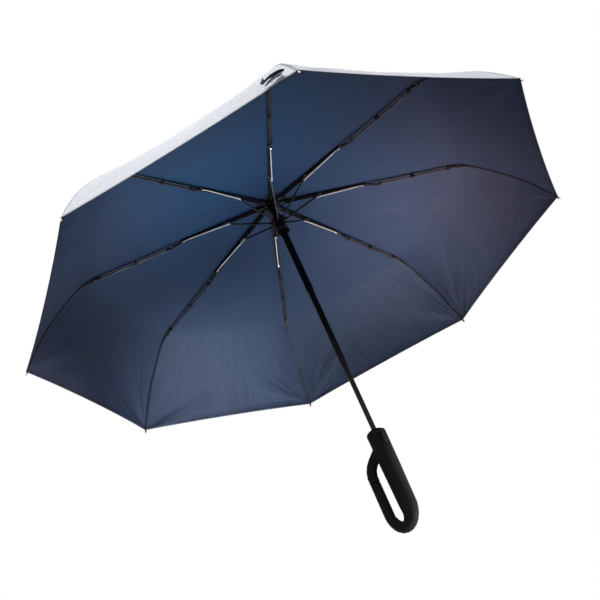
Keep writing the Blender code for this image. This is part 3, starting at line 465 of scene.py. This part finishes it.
hem_fold = cloth_length - hem_width
rows = [n * (hem_fold - hem_step) / row_count for n in range(row_count + 1)]
rows += [hem_fold, cloth_length - hem_width / 2, cloth_length]
random.seed(8)
tip_folds = [
    [(random.uniform(0.5, 1.4), random.uniform(0, 6.3)) for _ in range(2)]
    for _ in range(rib_count)
]
cloth_points, cloth_marks = [], []
for skin_side in (-1, 1):
    for along in rows:
        (radius, height), normal = cloth_at(along)
        rod_zone = soft_step(along, elbow_along + 0.006, elbow_along + 0.03)
        share = along / cloth_length
        hem_sag = hem_hollow * (radius / cloth_line[-1][0]) ** 4
        belly = gore_belly * math.sin(math.pi * share**1.7)
        chord = 2 * radius * math.sin(rib_turn / 2)
        turned = along >= hem_fold
        steps = (0.0, min(seam_half, chord / 9), min(seam_half + seam_step, chord / 8))
        for gore in range(rib_count):
            left, right = heading(gore), heading(gore + 1)
            middle = (left + right).normalized()
            outward = middle * normal[0] + Vector((0, 0, normal[1]))
            for column in range(column_count):
                mirrored = column > half_gore
                place = column_count - column if mirrored else column
                if place < 3:
                    off = steps[place]
                else:
                    off = steps[2] + (chord / 2 - steps[2]) * (place - 2) / (half_gore - 2)
                way = (chord - off if mirrored else off) / chord
                slack = 1.0 - abs(2 * way - 1.0) ** 2.2
                point = left.lerp(right, way) * radius - middle * hem_sag * slack
                point.z = height - belly * slack
                point -= outward * rod_drop * rod_zone * (1 - slack)
                from_tip = math.hypot(off, cloth_length - along)
                fan = math.atan2(cloth_length - along, off)
                size, phase = tip_folds[(gore + mirrored) % rib_count][mirrored]
                ripple = math.sin(fan * crease_waves + phase) * math.sin(fan * 2)
                ripple = ripple * math.exp(-from_tip / crease_fade)
                ripple = ripple * soft_step(from_tip, *crease_start)
                point += outward * crease_height * size * ripple
                thick = skin_side * ply * (1 + turned + (place < 2))
                point += outward * thick
                cloth_points.append(point)
                rib = (radius + normal[0] * thick, height + normal[1] * thick)
                hand = gore + 0.5 * soft_step(way, 0.25, 0.75)
                cloth_marks.append((off, cloth_length - along, hand, gore, way, *rib, thick))
ring = rib_count * column_count
skin = ring * len(rows)
cloth_faces = []
for row in range(len(rows) - 1):
    for column in range(ring):
        after = (column + 1) % ring
        low, high = row * ring, (row + 1) * ring
        corners = [low + column, high + column, high + after, low + after]
        if column % column_count >= half_gore:
            corners = corners[1:] + corners[:1]
        for face in (corners[:3], [corners[0], *corners[2:]]):
            cloth_faces.append(tuple(face))
            cloth_faces.append(tuple(skin + corner for corner in reversed(face)))
for row in (0, len(rows) - 1):
    for column in range(ring):
        here, after = row * ring + column, row * ring + (column + 1) % ring
        edge = (here, after, skin + after, skin + here)
        cloth_faces.append(tuple(reversed(edge)) if row else edge)
cloth = bpy.data.meshes.new("canopy_cloth")
cloth.from_pydata(cloth_points, [], cloth_faces)
cloth.validate()
marks = ("seam", "hem", "hand", "gore", "way", "rib_out", "rib_up", "thick")
for mark, values in zip(marks, zip(*cloth_marks)):
    cloth.attributes.new(mark, "FLOAT", "POINT").data.foreach_set("value", values)
face_outwards(cloth)
cloth.shade_smooth()
canopy = add_object("canopy_cloth", cloth)


def fabric(name, deep, pale, roughness, hub, **sockets):
    """Woven polyester: threads, slubs, creases, hem band, seam band, stitches and hub patch."""
    thread, slub, stitch_rate = 2400, 160, 2500
    seam_row, hem_row, row_width = 0.0028, 0.0068, (0.0003, 0.0006)
    patch_edge = (cloth_length - 0.031, cloth_length - 0.027)
    made, shader, wire = surface(name, deep, roughness, **sockets)
    seam, hem, hand = (
        wire.of(wire.node("Attribute", {"attribute_name": mark}), "Fac")
        for mark in ("seam", "hem", "hand")
    )
    place = wire.spot()
    cloud = wire.noise(place, 5.0, 3.0)
    warp = wire.noise(wire.point(seam * thread, hem * slub, hand), 1.0)
    weft = wire.noise(wire.point(seam * slub, hem * thread, hand), 1.0)
    threads = (warp + weft) * 0.5
    mottle = wire.noise(place, 420.0) + wire.noise(place, 170.0) - 1.0

    # Creases fan out from the tips, and the cloth between is slack and lightly crinkled.
    reach = (seam * seam + hem * hem).call("SQRT")
    fan = hem.call("ARCTAN2", seam)
    creases = wire.noise(wire.point(fan * 4.0, reach * 6, hand * 7.3), 1.0, 3.0, 0.6)
    pulled = wire.noise(wire.point(hand * 5.1, fan * 0.8, 0.0), 1.0, 1.0).rise(0.42, 0.62)
    tight = reach.rise(0.004, 0.05) * (reach * -11.0).call("EXPONENT") * pulled
    east, north, high = place.parts()
    sway = wire.noise(place, 40.0) * 0.02
    cells = wire.node("TexVoronoi", {"feature": "DISTANCE_TO_EDGE"}, Scale=15.0)
    wire.fill(cells.inputs["Vector"], wire.point(east + sway, north - sway, high))
    crinkle = wire.of(cells).rise(0.0, 0.05)
    rumple = wire.noise(place, 9.0).rise(0.5, 0.66)
    slack = wire.noise(wire.point(seam * 16, hem * 5, hand * 3.1), 1.0, 3.0)

    # The hem and felled seams are double cloth with painted shade, and each has one row of
    # stitches.
    band = 1.0 - hem.rise(hem_width - 0.0002, hem_width + 0.0004)
    fell = 1.0 - seam.rise(seam_half - 0.0002, seam_half + 0.0004)
    double_cloth_shade = band.call("MAXIMUM", fell)
    stitch_rows = []
    for along, across, row_at in ((hem, seam, seam_row), (seam, hem, hem_row)):
        dash = (along * stitch_rate).call("SINE").rise(-0.5, 0.1)
        beside_row = (across - row_at).call("ABSOLUTE").rise(*row_width)
        stitch_rows.append((1.0 - beside_row) * dash)
    stitch = stitch_rows[0].call("MAXIMUM", stitch_rows[1])
    patch = (hem + (cloud - 0.5) * 0.004).rise(*patch_edge)

    # Paler and bluer towards the hub: painted light; the purple-grey towards the hem is the cloth's
    # own tint.
    tint = (hem.rise(0.0, 0.5) * 0.75 + cloud * 0.5 - 0.12).mix(deep, pale)
    # The double cloth of hem and seams is painted darker: painted shade, as less light comes
    # through two layers.
    shade = (threads - 0.5) * 0.7 + 1.0 - double_cloth_shade * 0.3 - stitch * 0.25 + (cloud - 0.5) * 0.3
    shade = (shade + mottle * 0.28) * (1.0 - patch * hub)
    wire.fill(shader.inputs["Base Color"], wire.times(tint, shade))
    wire.fill(shader.inputs["Roughness"], (threads - 0.5) * 0.3 + roughness)
    height = creases * tight * 1.5 + slack * 0.5 + crinkle * rumple * 0.03
    soft = wire.bump(height, 0.9, 0.012)
    fine = wire.bump(threads + double_cloth_shade * 0.4 - stitch * 0.8, 0.35, 0.0004, soft)
    wire.fill(shader.inputs["Normal"], fine)
    return made


inside = fabric("navy_cloth", navy, hub_lit_navy, 0.62, 0.6, Specular_IOR_Level=0.25)
outside = fabric("silver_cloth", silver, hub_lit_silver, 0.5, 0.1)
cloth.materials.append(inside)
cloth.materials.append(outside)
for polygon in cloth.polygons:
    polygon.material_index = 1 if min(polygon.vertices) >= skin else 0
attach(canopy, "shaft_top")
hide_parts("canopy")

# How the cloth folds: each gore follows its two ribs, and what is left between them wraps round
# the bundle as a flat pleat over the pleats of the gores beside it.
runner_travel, joint_ease = 0.1246, 0.005
bundle_core, pleat_layer, crease_round, bulge_most = 0.012, 0.0026, 0.006, 0.012
fold = bpy.data.node_groups.new("canopy_fold", "GeometryNodeTree")
for direction in ("INPUT", "OUTPUT"):
    fold.interface.new_socket("Geometry", in_out=direction, socket_type="NodeSocketGeometry")
wire = Wire(fold)


def mark_of(name):
    """A mark that the cloth's points carry."""
    found = wire.node("GeometryNodeInputNamedAttribute", {"data_type": "FLOAT"}, Name=name)
    return wire.of(found)


def beside(body):
    """How a body stands, seen from the canopy."""
    found = wire.node("GeometryNodeObjectInfo", {"transform_space": "RELATIVE"})
    found.inputs["Object"].default_value = bodies[body]
    return found


def moved_with(body, place):
    """Where a place on the resting canopy goes with a body."""
    turn = wire.of(beside(body), "Transform")
    return wire.of(wire.node("FunctionNodeTransformPoint", Vector=place, Transform=turn))


def round_shaft(turn, reach, height):
    """The place at a turn round the shaft, a reach from it and a height."""
    return wire.point(turn.call("COSINE") * reach, turn.call("SINE") * reach, height)


gore, way, hem, thick = mark_of("gore"), mark_of("way"), mark_of("hem"), mark_of("thick")
rest_out = mark_of("rib_out")
start = wire.point(rest_out, 0.0, mark_of("rib_up"))
along = cloth_length - hem
line = start
for body, joint in (
    ("top_rib_1", 0.009),
    ("middle_rib_1", knee_along),
    ("outer_rib_1", elbow_along),
):
    past_joint = along.rise(joint - joint_ease, joint + joint_ease)
    line = past_joint.between(line, moved_with(body, start))
out, _, up = line.parts()
lowered = wire.of(beside("runner"), "Location").parts()[2]
closed = (lowered / -runner_travel).call("MINIMUM", 1.0)

# While the ribs are half shut, a gore is the straight cloth between its two ribs.
gore_turn, width = gore * rib_turn, rest_out * (2 * math.sin(rib_turn / 2))
left_edge = round_shaft(gore_turn, out, up)
right_edge = round_shaft(gore_turn + rib_turn, out, up)
straight_cloth = way.between(left_edge, right_edge)

# Shut, the pleat runs out to its crease and back, and gains a layer for each gore that it passes.
outer_zone = along.rise(elbow_along - 0.002, elbow_along + 0.012)
lift = pleat_layer * 2 / math.pi
core = (out - thick * outer_zone).call("MAXIMUM", bundle_core)
gap = core * rib_turn + lift * math.pi**2 / 16
crease = (width + gap) * 0.5
back = way.call("GREATER_THAN", 0.5)
arc = back.lerp(crease * 2.0 * way, (crease - gap) * (2.0 - way * 2.0) + gap)
wrapped = ((core * core + arc * (4 * lift)).call("SQRT") - core) / (2 * lift)
turns = wrapped / rib_turn
near = ((way - 0.5).call("ABSOLUTE") * width / crease_round).call("MINIMUM", 1.0)
side = near * (1.0 - back * 2.0)
over = turns * pleat_layer - pleat_layer / 4 + side * (pleat_layer / 4)
over = over - back * (1.0 - turns.rise(1.0, 1.25)) * (pleat_layer / 2)
slant = arc * 0.3 * along.rise(elbow_along, cloth_length)
rod_ends = []
for reach in (elbow_along, cloth_length):
    (radius, height), _ = cloth_at(reach)
    rod_ends.append(moved_with("outer_rib_1", (radius, 0.0, height)).parts())
(high_out, _, high_up), (low_out, _, low_up) = rod_ends
rod_lean = (high_out - low_out) / (high_up - low_up).call("MAXIMUM", 0.02)
pleat_out = core + slant * rod_lean + over + thick * side
fold_edge = thick * (1.0 - near) / core
pleat = round_shaft(gore_turn + wrapped + fold_edge, pleat_out, up + slant)

# Between the hub and the elbows the gores bulge a little between the ribs instead.
middle = 1.0 - (way * 2.0 - 1.0).call("ABSOLUTE")
bulge = (width * 0.45).call("MINIMUM", bulge_most) * middle.rise(0.22, 0.9)
lobe_turn = (middle.rise(0.0, 0.5) * 0.8).lerp(way, 0.5) * rib_turn
lobe = round_shaft(gore_turn + lobe_turn, out + bulge, up)
shut = outer_zone.between(lobe, pleat)
folded = closed.rise(0.3, 1.0).between(straight_cloth, shut)
rest = wire.of(wire.node("GeometryNodeInputPosition"))
posed = closed.rise(0.0, 0.03).between(rest, folded)
source = wire.of(wire.node("NodeGroupInput"), "Geometry")
setter = wire.node("GeometryNodeSetPosition", Geometry=source, Position=posed)
wire.node("NodeGroupOutput", Geometry=wire.of(setter))
canopy.modifiers.new("fold", "NODES").node_group = fold

# Ties: short navy tapes sewn to the cloth, each tied round a middle rib and its pull wire with a
# flat bow at the side.
tape_half, tape_thick = 0.0013, 0.00025
tie_places, tie_knots = (0.2025, 0.264, 0.3325), (1, -1, 1)
bow_steps, bow_start, bow_reach, bow_half, bow_thick = 5, 0.0005, 0.0011, 0.0009, 0.00028
bow_side, bow_spread, bow_drop, bow_fall = 0.0029, 0.0001, 0.0004, 0.0003
tape_navy = (0.010, 0.011, 0.018)
tape_dark, tape_light = (0.007, 0.008, 0.013), (0.016, 0.017, 0.026)
corner_signs = ((-1, -1), (1, -1), (1, 1), (-1, 1))
bar_run, bar_rise = bar_end[0] - bar_start[0], bar_end[1] - bar_start[1]
bar_fall = math.atan2(bar_rise, bar_run)
rib_way = Vector((math.cos(bar_fall), 0, math.sin(bar_fall)))
rib_up = Vector((-math.sin(bar_fall), 0, math.cos(bar_fall)))
loop = [(-0.0024, 0.0021), (-0.0025, -0.0014), (-0.0021, -0.0029), (-0.0009, -0.0035)]
loop = loop + [(-across, deep) for across, deep in reversed(loop)]
tie_points, tie_faces = [], []


def add_band(sections):
    """Joins closed sections of four points each into one tape."""
    first = len(tie_points)
    for section in sections:
        tie_points.extend(section)
    count = len(sections)
    for number in range(count - 1):
        for corner in range(4):
            after = (corner + 1) % 4
            low, high = first + number * 4, first + number * 4 + 4
            tie_faces.append((low + corner, low + after, high + after, high + corner))
    last = first + (count - 1) * 4
    tie_faces.append((first + 3, first + 2, first + 1, first))
    tie_faces.append((last, last + 1, last + 2, last + 3))


for place, knot in zip(tie_places, tie_knots):
    share = (place - bar_start[0]) / bar_run
    centre = Vector((place, 0, bar_start[1] + share * bar_rise))
    sections = []
    for number, (across, deep) in enumerate(loop):
        before, after = loop[max(number - 1, 0)], loop[min(number + 1, len(loop) - 1)]
        face = Vector((after[1] - before[1], before[0] - after[0])).normalized() * tape_thick
        section = []
        for along_rib, lift in corner_signs:
            point = centre + rib_way * (tape_half * along_rib)
            point = point + Vector((0, across + face.x * lift, 0))
            section.append(point + rib_up * (deep + face.y * lift))
        sections.append(section)
    add_band(sections)
    for wing in (1, -1):
        bow = []
        for step in range(bow_steps):
            swell = math.sin(math.pi * (step + 0.6) / 5.2) * bow_half
            middle = centre + Vector((0, knot * (bow_side + bow_spread * step), 0))
            middle = middle + rib_way * (wing * (bow_start + bow_reach * step))
            middle = middle - rib_up * (bow_drop + bow_fall * step)
            bow.append(
                [
                    middle + rib_up * (swell * up) + Vector((0, bow_thick * out, 0))
                    for up, out in corner_signs
                ]
            )
        add_band(bow)
tie_mesh = bpy.data.meshes.new("cloth_ties")
tie_mesh.from_pydata(tie_points, [], tie_faces)
face_outwards(tie_mesh)
tape_cloth, shader, wire = surface("tape_cloth", tape_navy, 0.7, Specular_IOR_Level=0.2)
tape_ribs = wire.noise(wire.spot(), 2600.0)
wire.fill(shader.inputs["Base Color"], tape_ribs.mix(tape_dark, tape_light))
wire.fill(shader.inputs["Normal"], wire.bump(tape_ribs, 0.4, 0.0002))
tie_mesh.materials.append(tape_cloth)
for number in range(rib_count):
    tie = add_object(f"cloth_ties_{number + 1}", tie_mesh.copy())
    tie.data.transform(Matrix.Rotation(-number * rib_turn, 4, "Z"))
    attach(tie, f"middle_rib_{number + 1}")

# Tie strap: a ribbon of the same cloth, navy on one side and silver-white on the other, with
# dark rolled edges. It is stitched to the outer face above the hem beside rib eight, and folds
# back over itself to a curled end.
strap_turn, strap_half, strap_thin = math.radians(43.6), 0.0109, 0.00035
roll_width, roll_swell, ripple_height = 0.0016, 1.6, 0.0003
above_hem, off_cloth = 0.0135, 0.0014
away_from_hem, strap_hand = 0.05, 9.0
ribbon_columns, ribbon_steps = 14, 7
strap_path = (
    (31.8, -11.6), (24.8, -9.0), (15.3, -4.8), (8.6, -3.3), (5.7, -2.5), (7.0, -1.5),
    (14.5, -1.1), (24.8, -3.6), (31.2, -7.2), (33.8, -8.2), (36.0, -6.4), (34.6, -4.4),
)
hem_fall = math.atan2(
    cloth_line[-1][1] - cloth_line[-2][1], cloth_line[-1][0] - cloth_line[-2][0]
)
outwards = Vector((math.cos(strap_turn), math.sin(strap_turn), 0))
sideways = Vector((math.sin(strap_turn), -math.cos(strap_turn), 0))
upwards = Vector((0, 0, 1))


def in_rib_plane(turn):
    """The direction at a turn up from level, in the strap's upright plane."""
    return outwards * math.cos(turn) + upwards * math.sin(turn)


strap_wide = in_rib_plane(-hem_fall - math.pi / 2)
strap_rise = in_rib_plane(-hem_fall)
strap_root = outwards * cloth_line[-1][0] + upwards * cloth_line[-1][1]
strap_root = strap_root - in_rib_plane(hem_fall) * above_hem
strap_root = strap_root + in_rib_plane(hem_fall + math.pi / 2) * off_cloth


def smooth_path(points, steps):
    """Points on a smooth curve through the points of a path."""
    found = []
    for span in range(len(points) - 1):
        ends = [points[max(0, min(len(points) - 1, span + n))] for n in (-1, 0, 1, 2)]
        for step in range(steps):
            t = step / steps
            found.append(
                tuple(
                    b + t * (c - a) / 2 + t * t * (2 * a - 5 * b + 4 * c - d) / 2
                    + t**3 * (3 * b - a - 3 * c + d) / 2
                    for a, b, c, d in zip(*ends)
                )
            )
    return found + [points[-1]]


ribbon_line = smooth_path([(x / 1000, z / 1000) for x, z in strap_path], ribbon_steps)
ribbon_last = len(ribbon_line) - 1
ribbon_runs = [math.dist(a, b) for a, b in zip(ribbon_line, ribbon_line[1:])]
ribbon_points, ribbon_marks = [], []
for skin_side in (-1, 1):
    run = 0.0
    for number, (x, z) in enumerate(ribbon_line):
        before = ribbon_line[max(number - 1, 0)]
        after = ribbon_line[min(number + 1, ribbon_last)]
        slope = math.atan2(after[1] - before[1], after[0] - before[0])
        for column in range(ribbon_columns + 1):
            across = -strap_half + 2 * strap_half * column / ribbon_columns
            edge = strap_half - abs(across)
            rolled = strap_thin * (roll_swell if edge < roll_width else 1.0)
            lift = skin_side * rolled + ripple_height * math.sin(run * 190 + across * 240)
            spot = strap_root + sideways * (x - lift * math.sin(slope)) + strap_wide * across
            ribbon_points.append(spot + strap_rise * (z + lift * math.cos(slope)))
            ribbon_marks.append((edge, away_from_hem + run, strap_hand))
        run += ribbon_runs[number] if number < ribbon_last else 0.0
ribbon_row = ribbon_columns + 1
ribbon_skin = ribbon_row * len(ribbon_line)
ribbon_faces, ribbon_sides = [], []


def add_ribbon_face(corners, cloth_side=0):
    """Adds a face, navy as it is or pale with cloth_side at 1."""
    ribbon_faces.append(tuple(corners))
    ribbon_sides.append(cloth_side)


for number in range(ribbon_last):
    for column in range(ribbon_columns):
        low, high = number * ribbon_row + column, (number + 1) * ribbon_row + column
        rolled_edge = column in (0, ribbon_columns - 1)
        add_ribbon_face((low, low + 1, high + 1, high))
        outer = (ribbon_skin + n for n in (low, high, high + 1, low + 1))
        add_ribbon_face(outer, 0 if rolled_edge else 1)
    for column in (0, ribbon_columns):
        low, high = number * ribbon_row + column, (number + 1) * ribbon_row + column
        add_ribbon_face((low, high, ribbon_skin + high, ribbon_skin + low))
for number in (0, ribbon_last):
    for column in range(ribbon_columns):
        low = number * ribbon_row + column
        add_ribbon_face((low, low + 1, ribbon_skin + low + 1, ribbon_skin + low))
ribbon = bpy.data.meshes.new("strap_ribbon")
ribbon.from_pydata(ribbon_points, [], ribbon_faces)
for mark, values in zip(("seam", "hem", "hand"), zip(*ribbon_marks)):
    ribbon.attributes.new(mark, "FLOAT", "POINT").data.foreach_set("value", values)
ribbon.materials.append(inside)
ribbon.materials.append(outside)
ribbon.polygons.foreach_set("material_index", ribbon_sides)
face_outwards(ribbon)
ribbon.shade_smooth()
strap = add_object("strap_ribbon", ribbon)
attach(strap, "outer_rib_8")
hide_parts("tie_strap")

# Studio: white surroundings and a pale floor that lights the cloth less than it looks. Five soft
# lamps under the handle shine up to the inside of the canopy, one lights the handle from the
# side, and two light the outside of the cloth.
floor_side, floor_level = 60.0, -1.15
floor_pale, floor_bounce, floor_glow = (0.86, 0.86, 0.86), (0.18, 0.21, 0.285), (0.3, 0.285, 0.26)
floor = bpy.data.meshes.new("floor")
floor.from_pydata(
    [(x * floor_side, y * floor_side, floor_level) for x, y in corner_signs], [], [(0, 1, 2, 3)]
)
paint, shader, wire = surface(
    "floor_paint", floor_pale, 0.8, Specular_IOR_Level=0.1, Emission_Strength=1.0
)


def seen_directly(wire, *kinds):
    """1 for what the camera sees straight, mirrored or through those kinds of ray."""
    rays = wire.node("LightPath")
    found = wire.of(rays, "Is Camera Ray")
    for kind in kinds:
        found = found.call("MAXIMUM", wire.of(rays, kind))
    return found


direct = seen_directly(wire, "Is Glossy Ray")
wire.fill(shader.inputs["Base Color"], direct.mix(floor_bounce, floor_pale))
wire.fill(shader.inputs["Emission Color"], direct.mix((0, 0, 0), floor_glow))
floor.materials.append(paint)
ground = add_object("floor", floor)


def lamp(name, place, aim, width, watts, beam=180, rgb=(1, 1, 1)):
    """A square soft lamp at a place, turned towards a point, with a beam in degrees."""
    made = bpy.data.lights.new(name, "AREA")
    made.size = width
    made.energy = watts
    made.color = rgb
    made.spread = math.radians(beam)
    thing = add_object(name, made)
    thing.location = place
    thing.visible_camera = False
    thing.rotation_mode = "QUATERNION"
    thing.rotation_quaternion = (Vector(aim) - Vector(place)).to_track_quat("-Z", "Y")


lamp("right", (-0.05, 0.03, -0.7), (-0.225, 0.15, 0.44), 0.35, 0.48, 26, (1.0, 0.70, 0.62))
lamp("front", (-0.07, -0.19, -0.7), (-0.165, -0.47, 0.42), 0.35, 0.98, 27, (0.82, 0.97, 1.0))
lamp("left", (0.03, 0.01, -0.7), (0.184, 0.066, 0.48), 0.35, 0.28, 26, (0.30, 0.81, 1.0))
lamp("rim", (0.1, -0.03, -0.7), (0.307, -0.1, 0.44), 0.35, 0.17, 27, (0.90, 1.0, 1.0))
lamp("middle", (-0.1, 0.0, -0.7), (-0.34, 0.0, 0.47), 0.35, 0.34, 27, (0.84, 0.98, 1.0))
lamp("grip", (-0.63, 0.87, -0.58), (0, 0, -0.05), 0.12, 0.3, 12, (1.0, 0.97, 0.95))
lamp("side", (2.2, 0.9, 1.6), (0, 0, 0.4), 1.6, 42)
lamp("back", (-1.8, -1.2, 1.9), (0, 0, 0.4), 1.6, 22)

world = bpy.data.worlds.new("studio")
world.use_nodes = True
bpy.context.scene.world = world
wire = Wire(world.node_tree)
shown = wire.node("Background", Color=(1, 1, 1, 1), Strength=1.0)
lit = wire.node("Background", Color=(0.82, 0.9, 1, 1), Strength=0.4)
direct = seen_directly(wire, "Is Glossy Ray", "Is Transmission Ray")
both = wire.feed(wire.node("MixShader"), direct, wire.of(lit), wire.of(shown))
wire.fill(world.node_tree.nodes["World Output"].inputs["Surface"], both)

# Camera: at the place and angle of the photo, low and close, looking up along the shaft with
# the handle towards it. The length of the lens is that of the photo too.
camera = add_object("camera", bpy.data.cameras.new("camera"))
camera.data.lens = 56.264
camera.data.sensor_width = 36.0
camera_place = Matrix.Translation((1.15972, 0.74823, -0.49561))
right = Vector((-0.6787733, 0.6439438, -0.3529918))
down = Vector((-0.1552229, -0.5956392, -0.7881116))
ahead = Vector((-0.7177553, -0.4801567, 0.5042588))
camera.matrix_world = camera_place @ Matrix((right, -down, -ahead)).transposed().to_4x4()
bpy.context.scene.camera = camera
bpy.context.scene.view_settings.view_transform = "Standard"
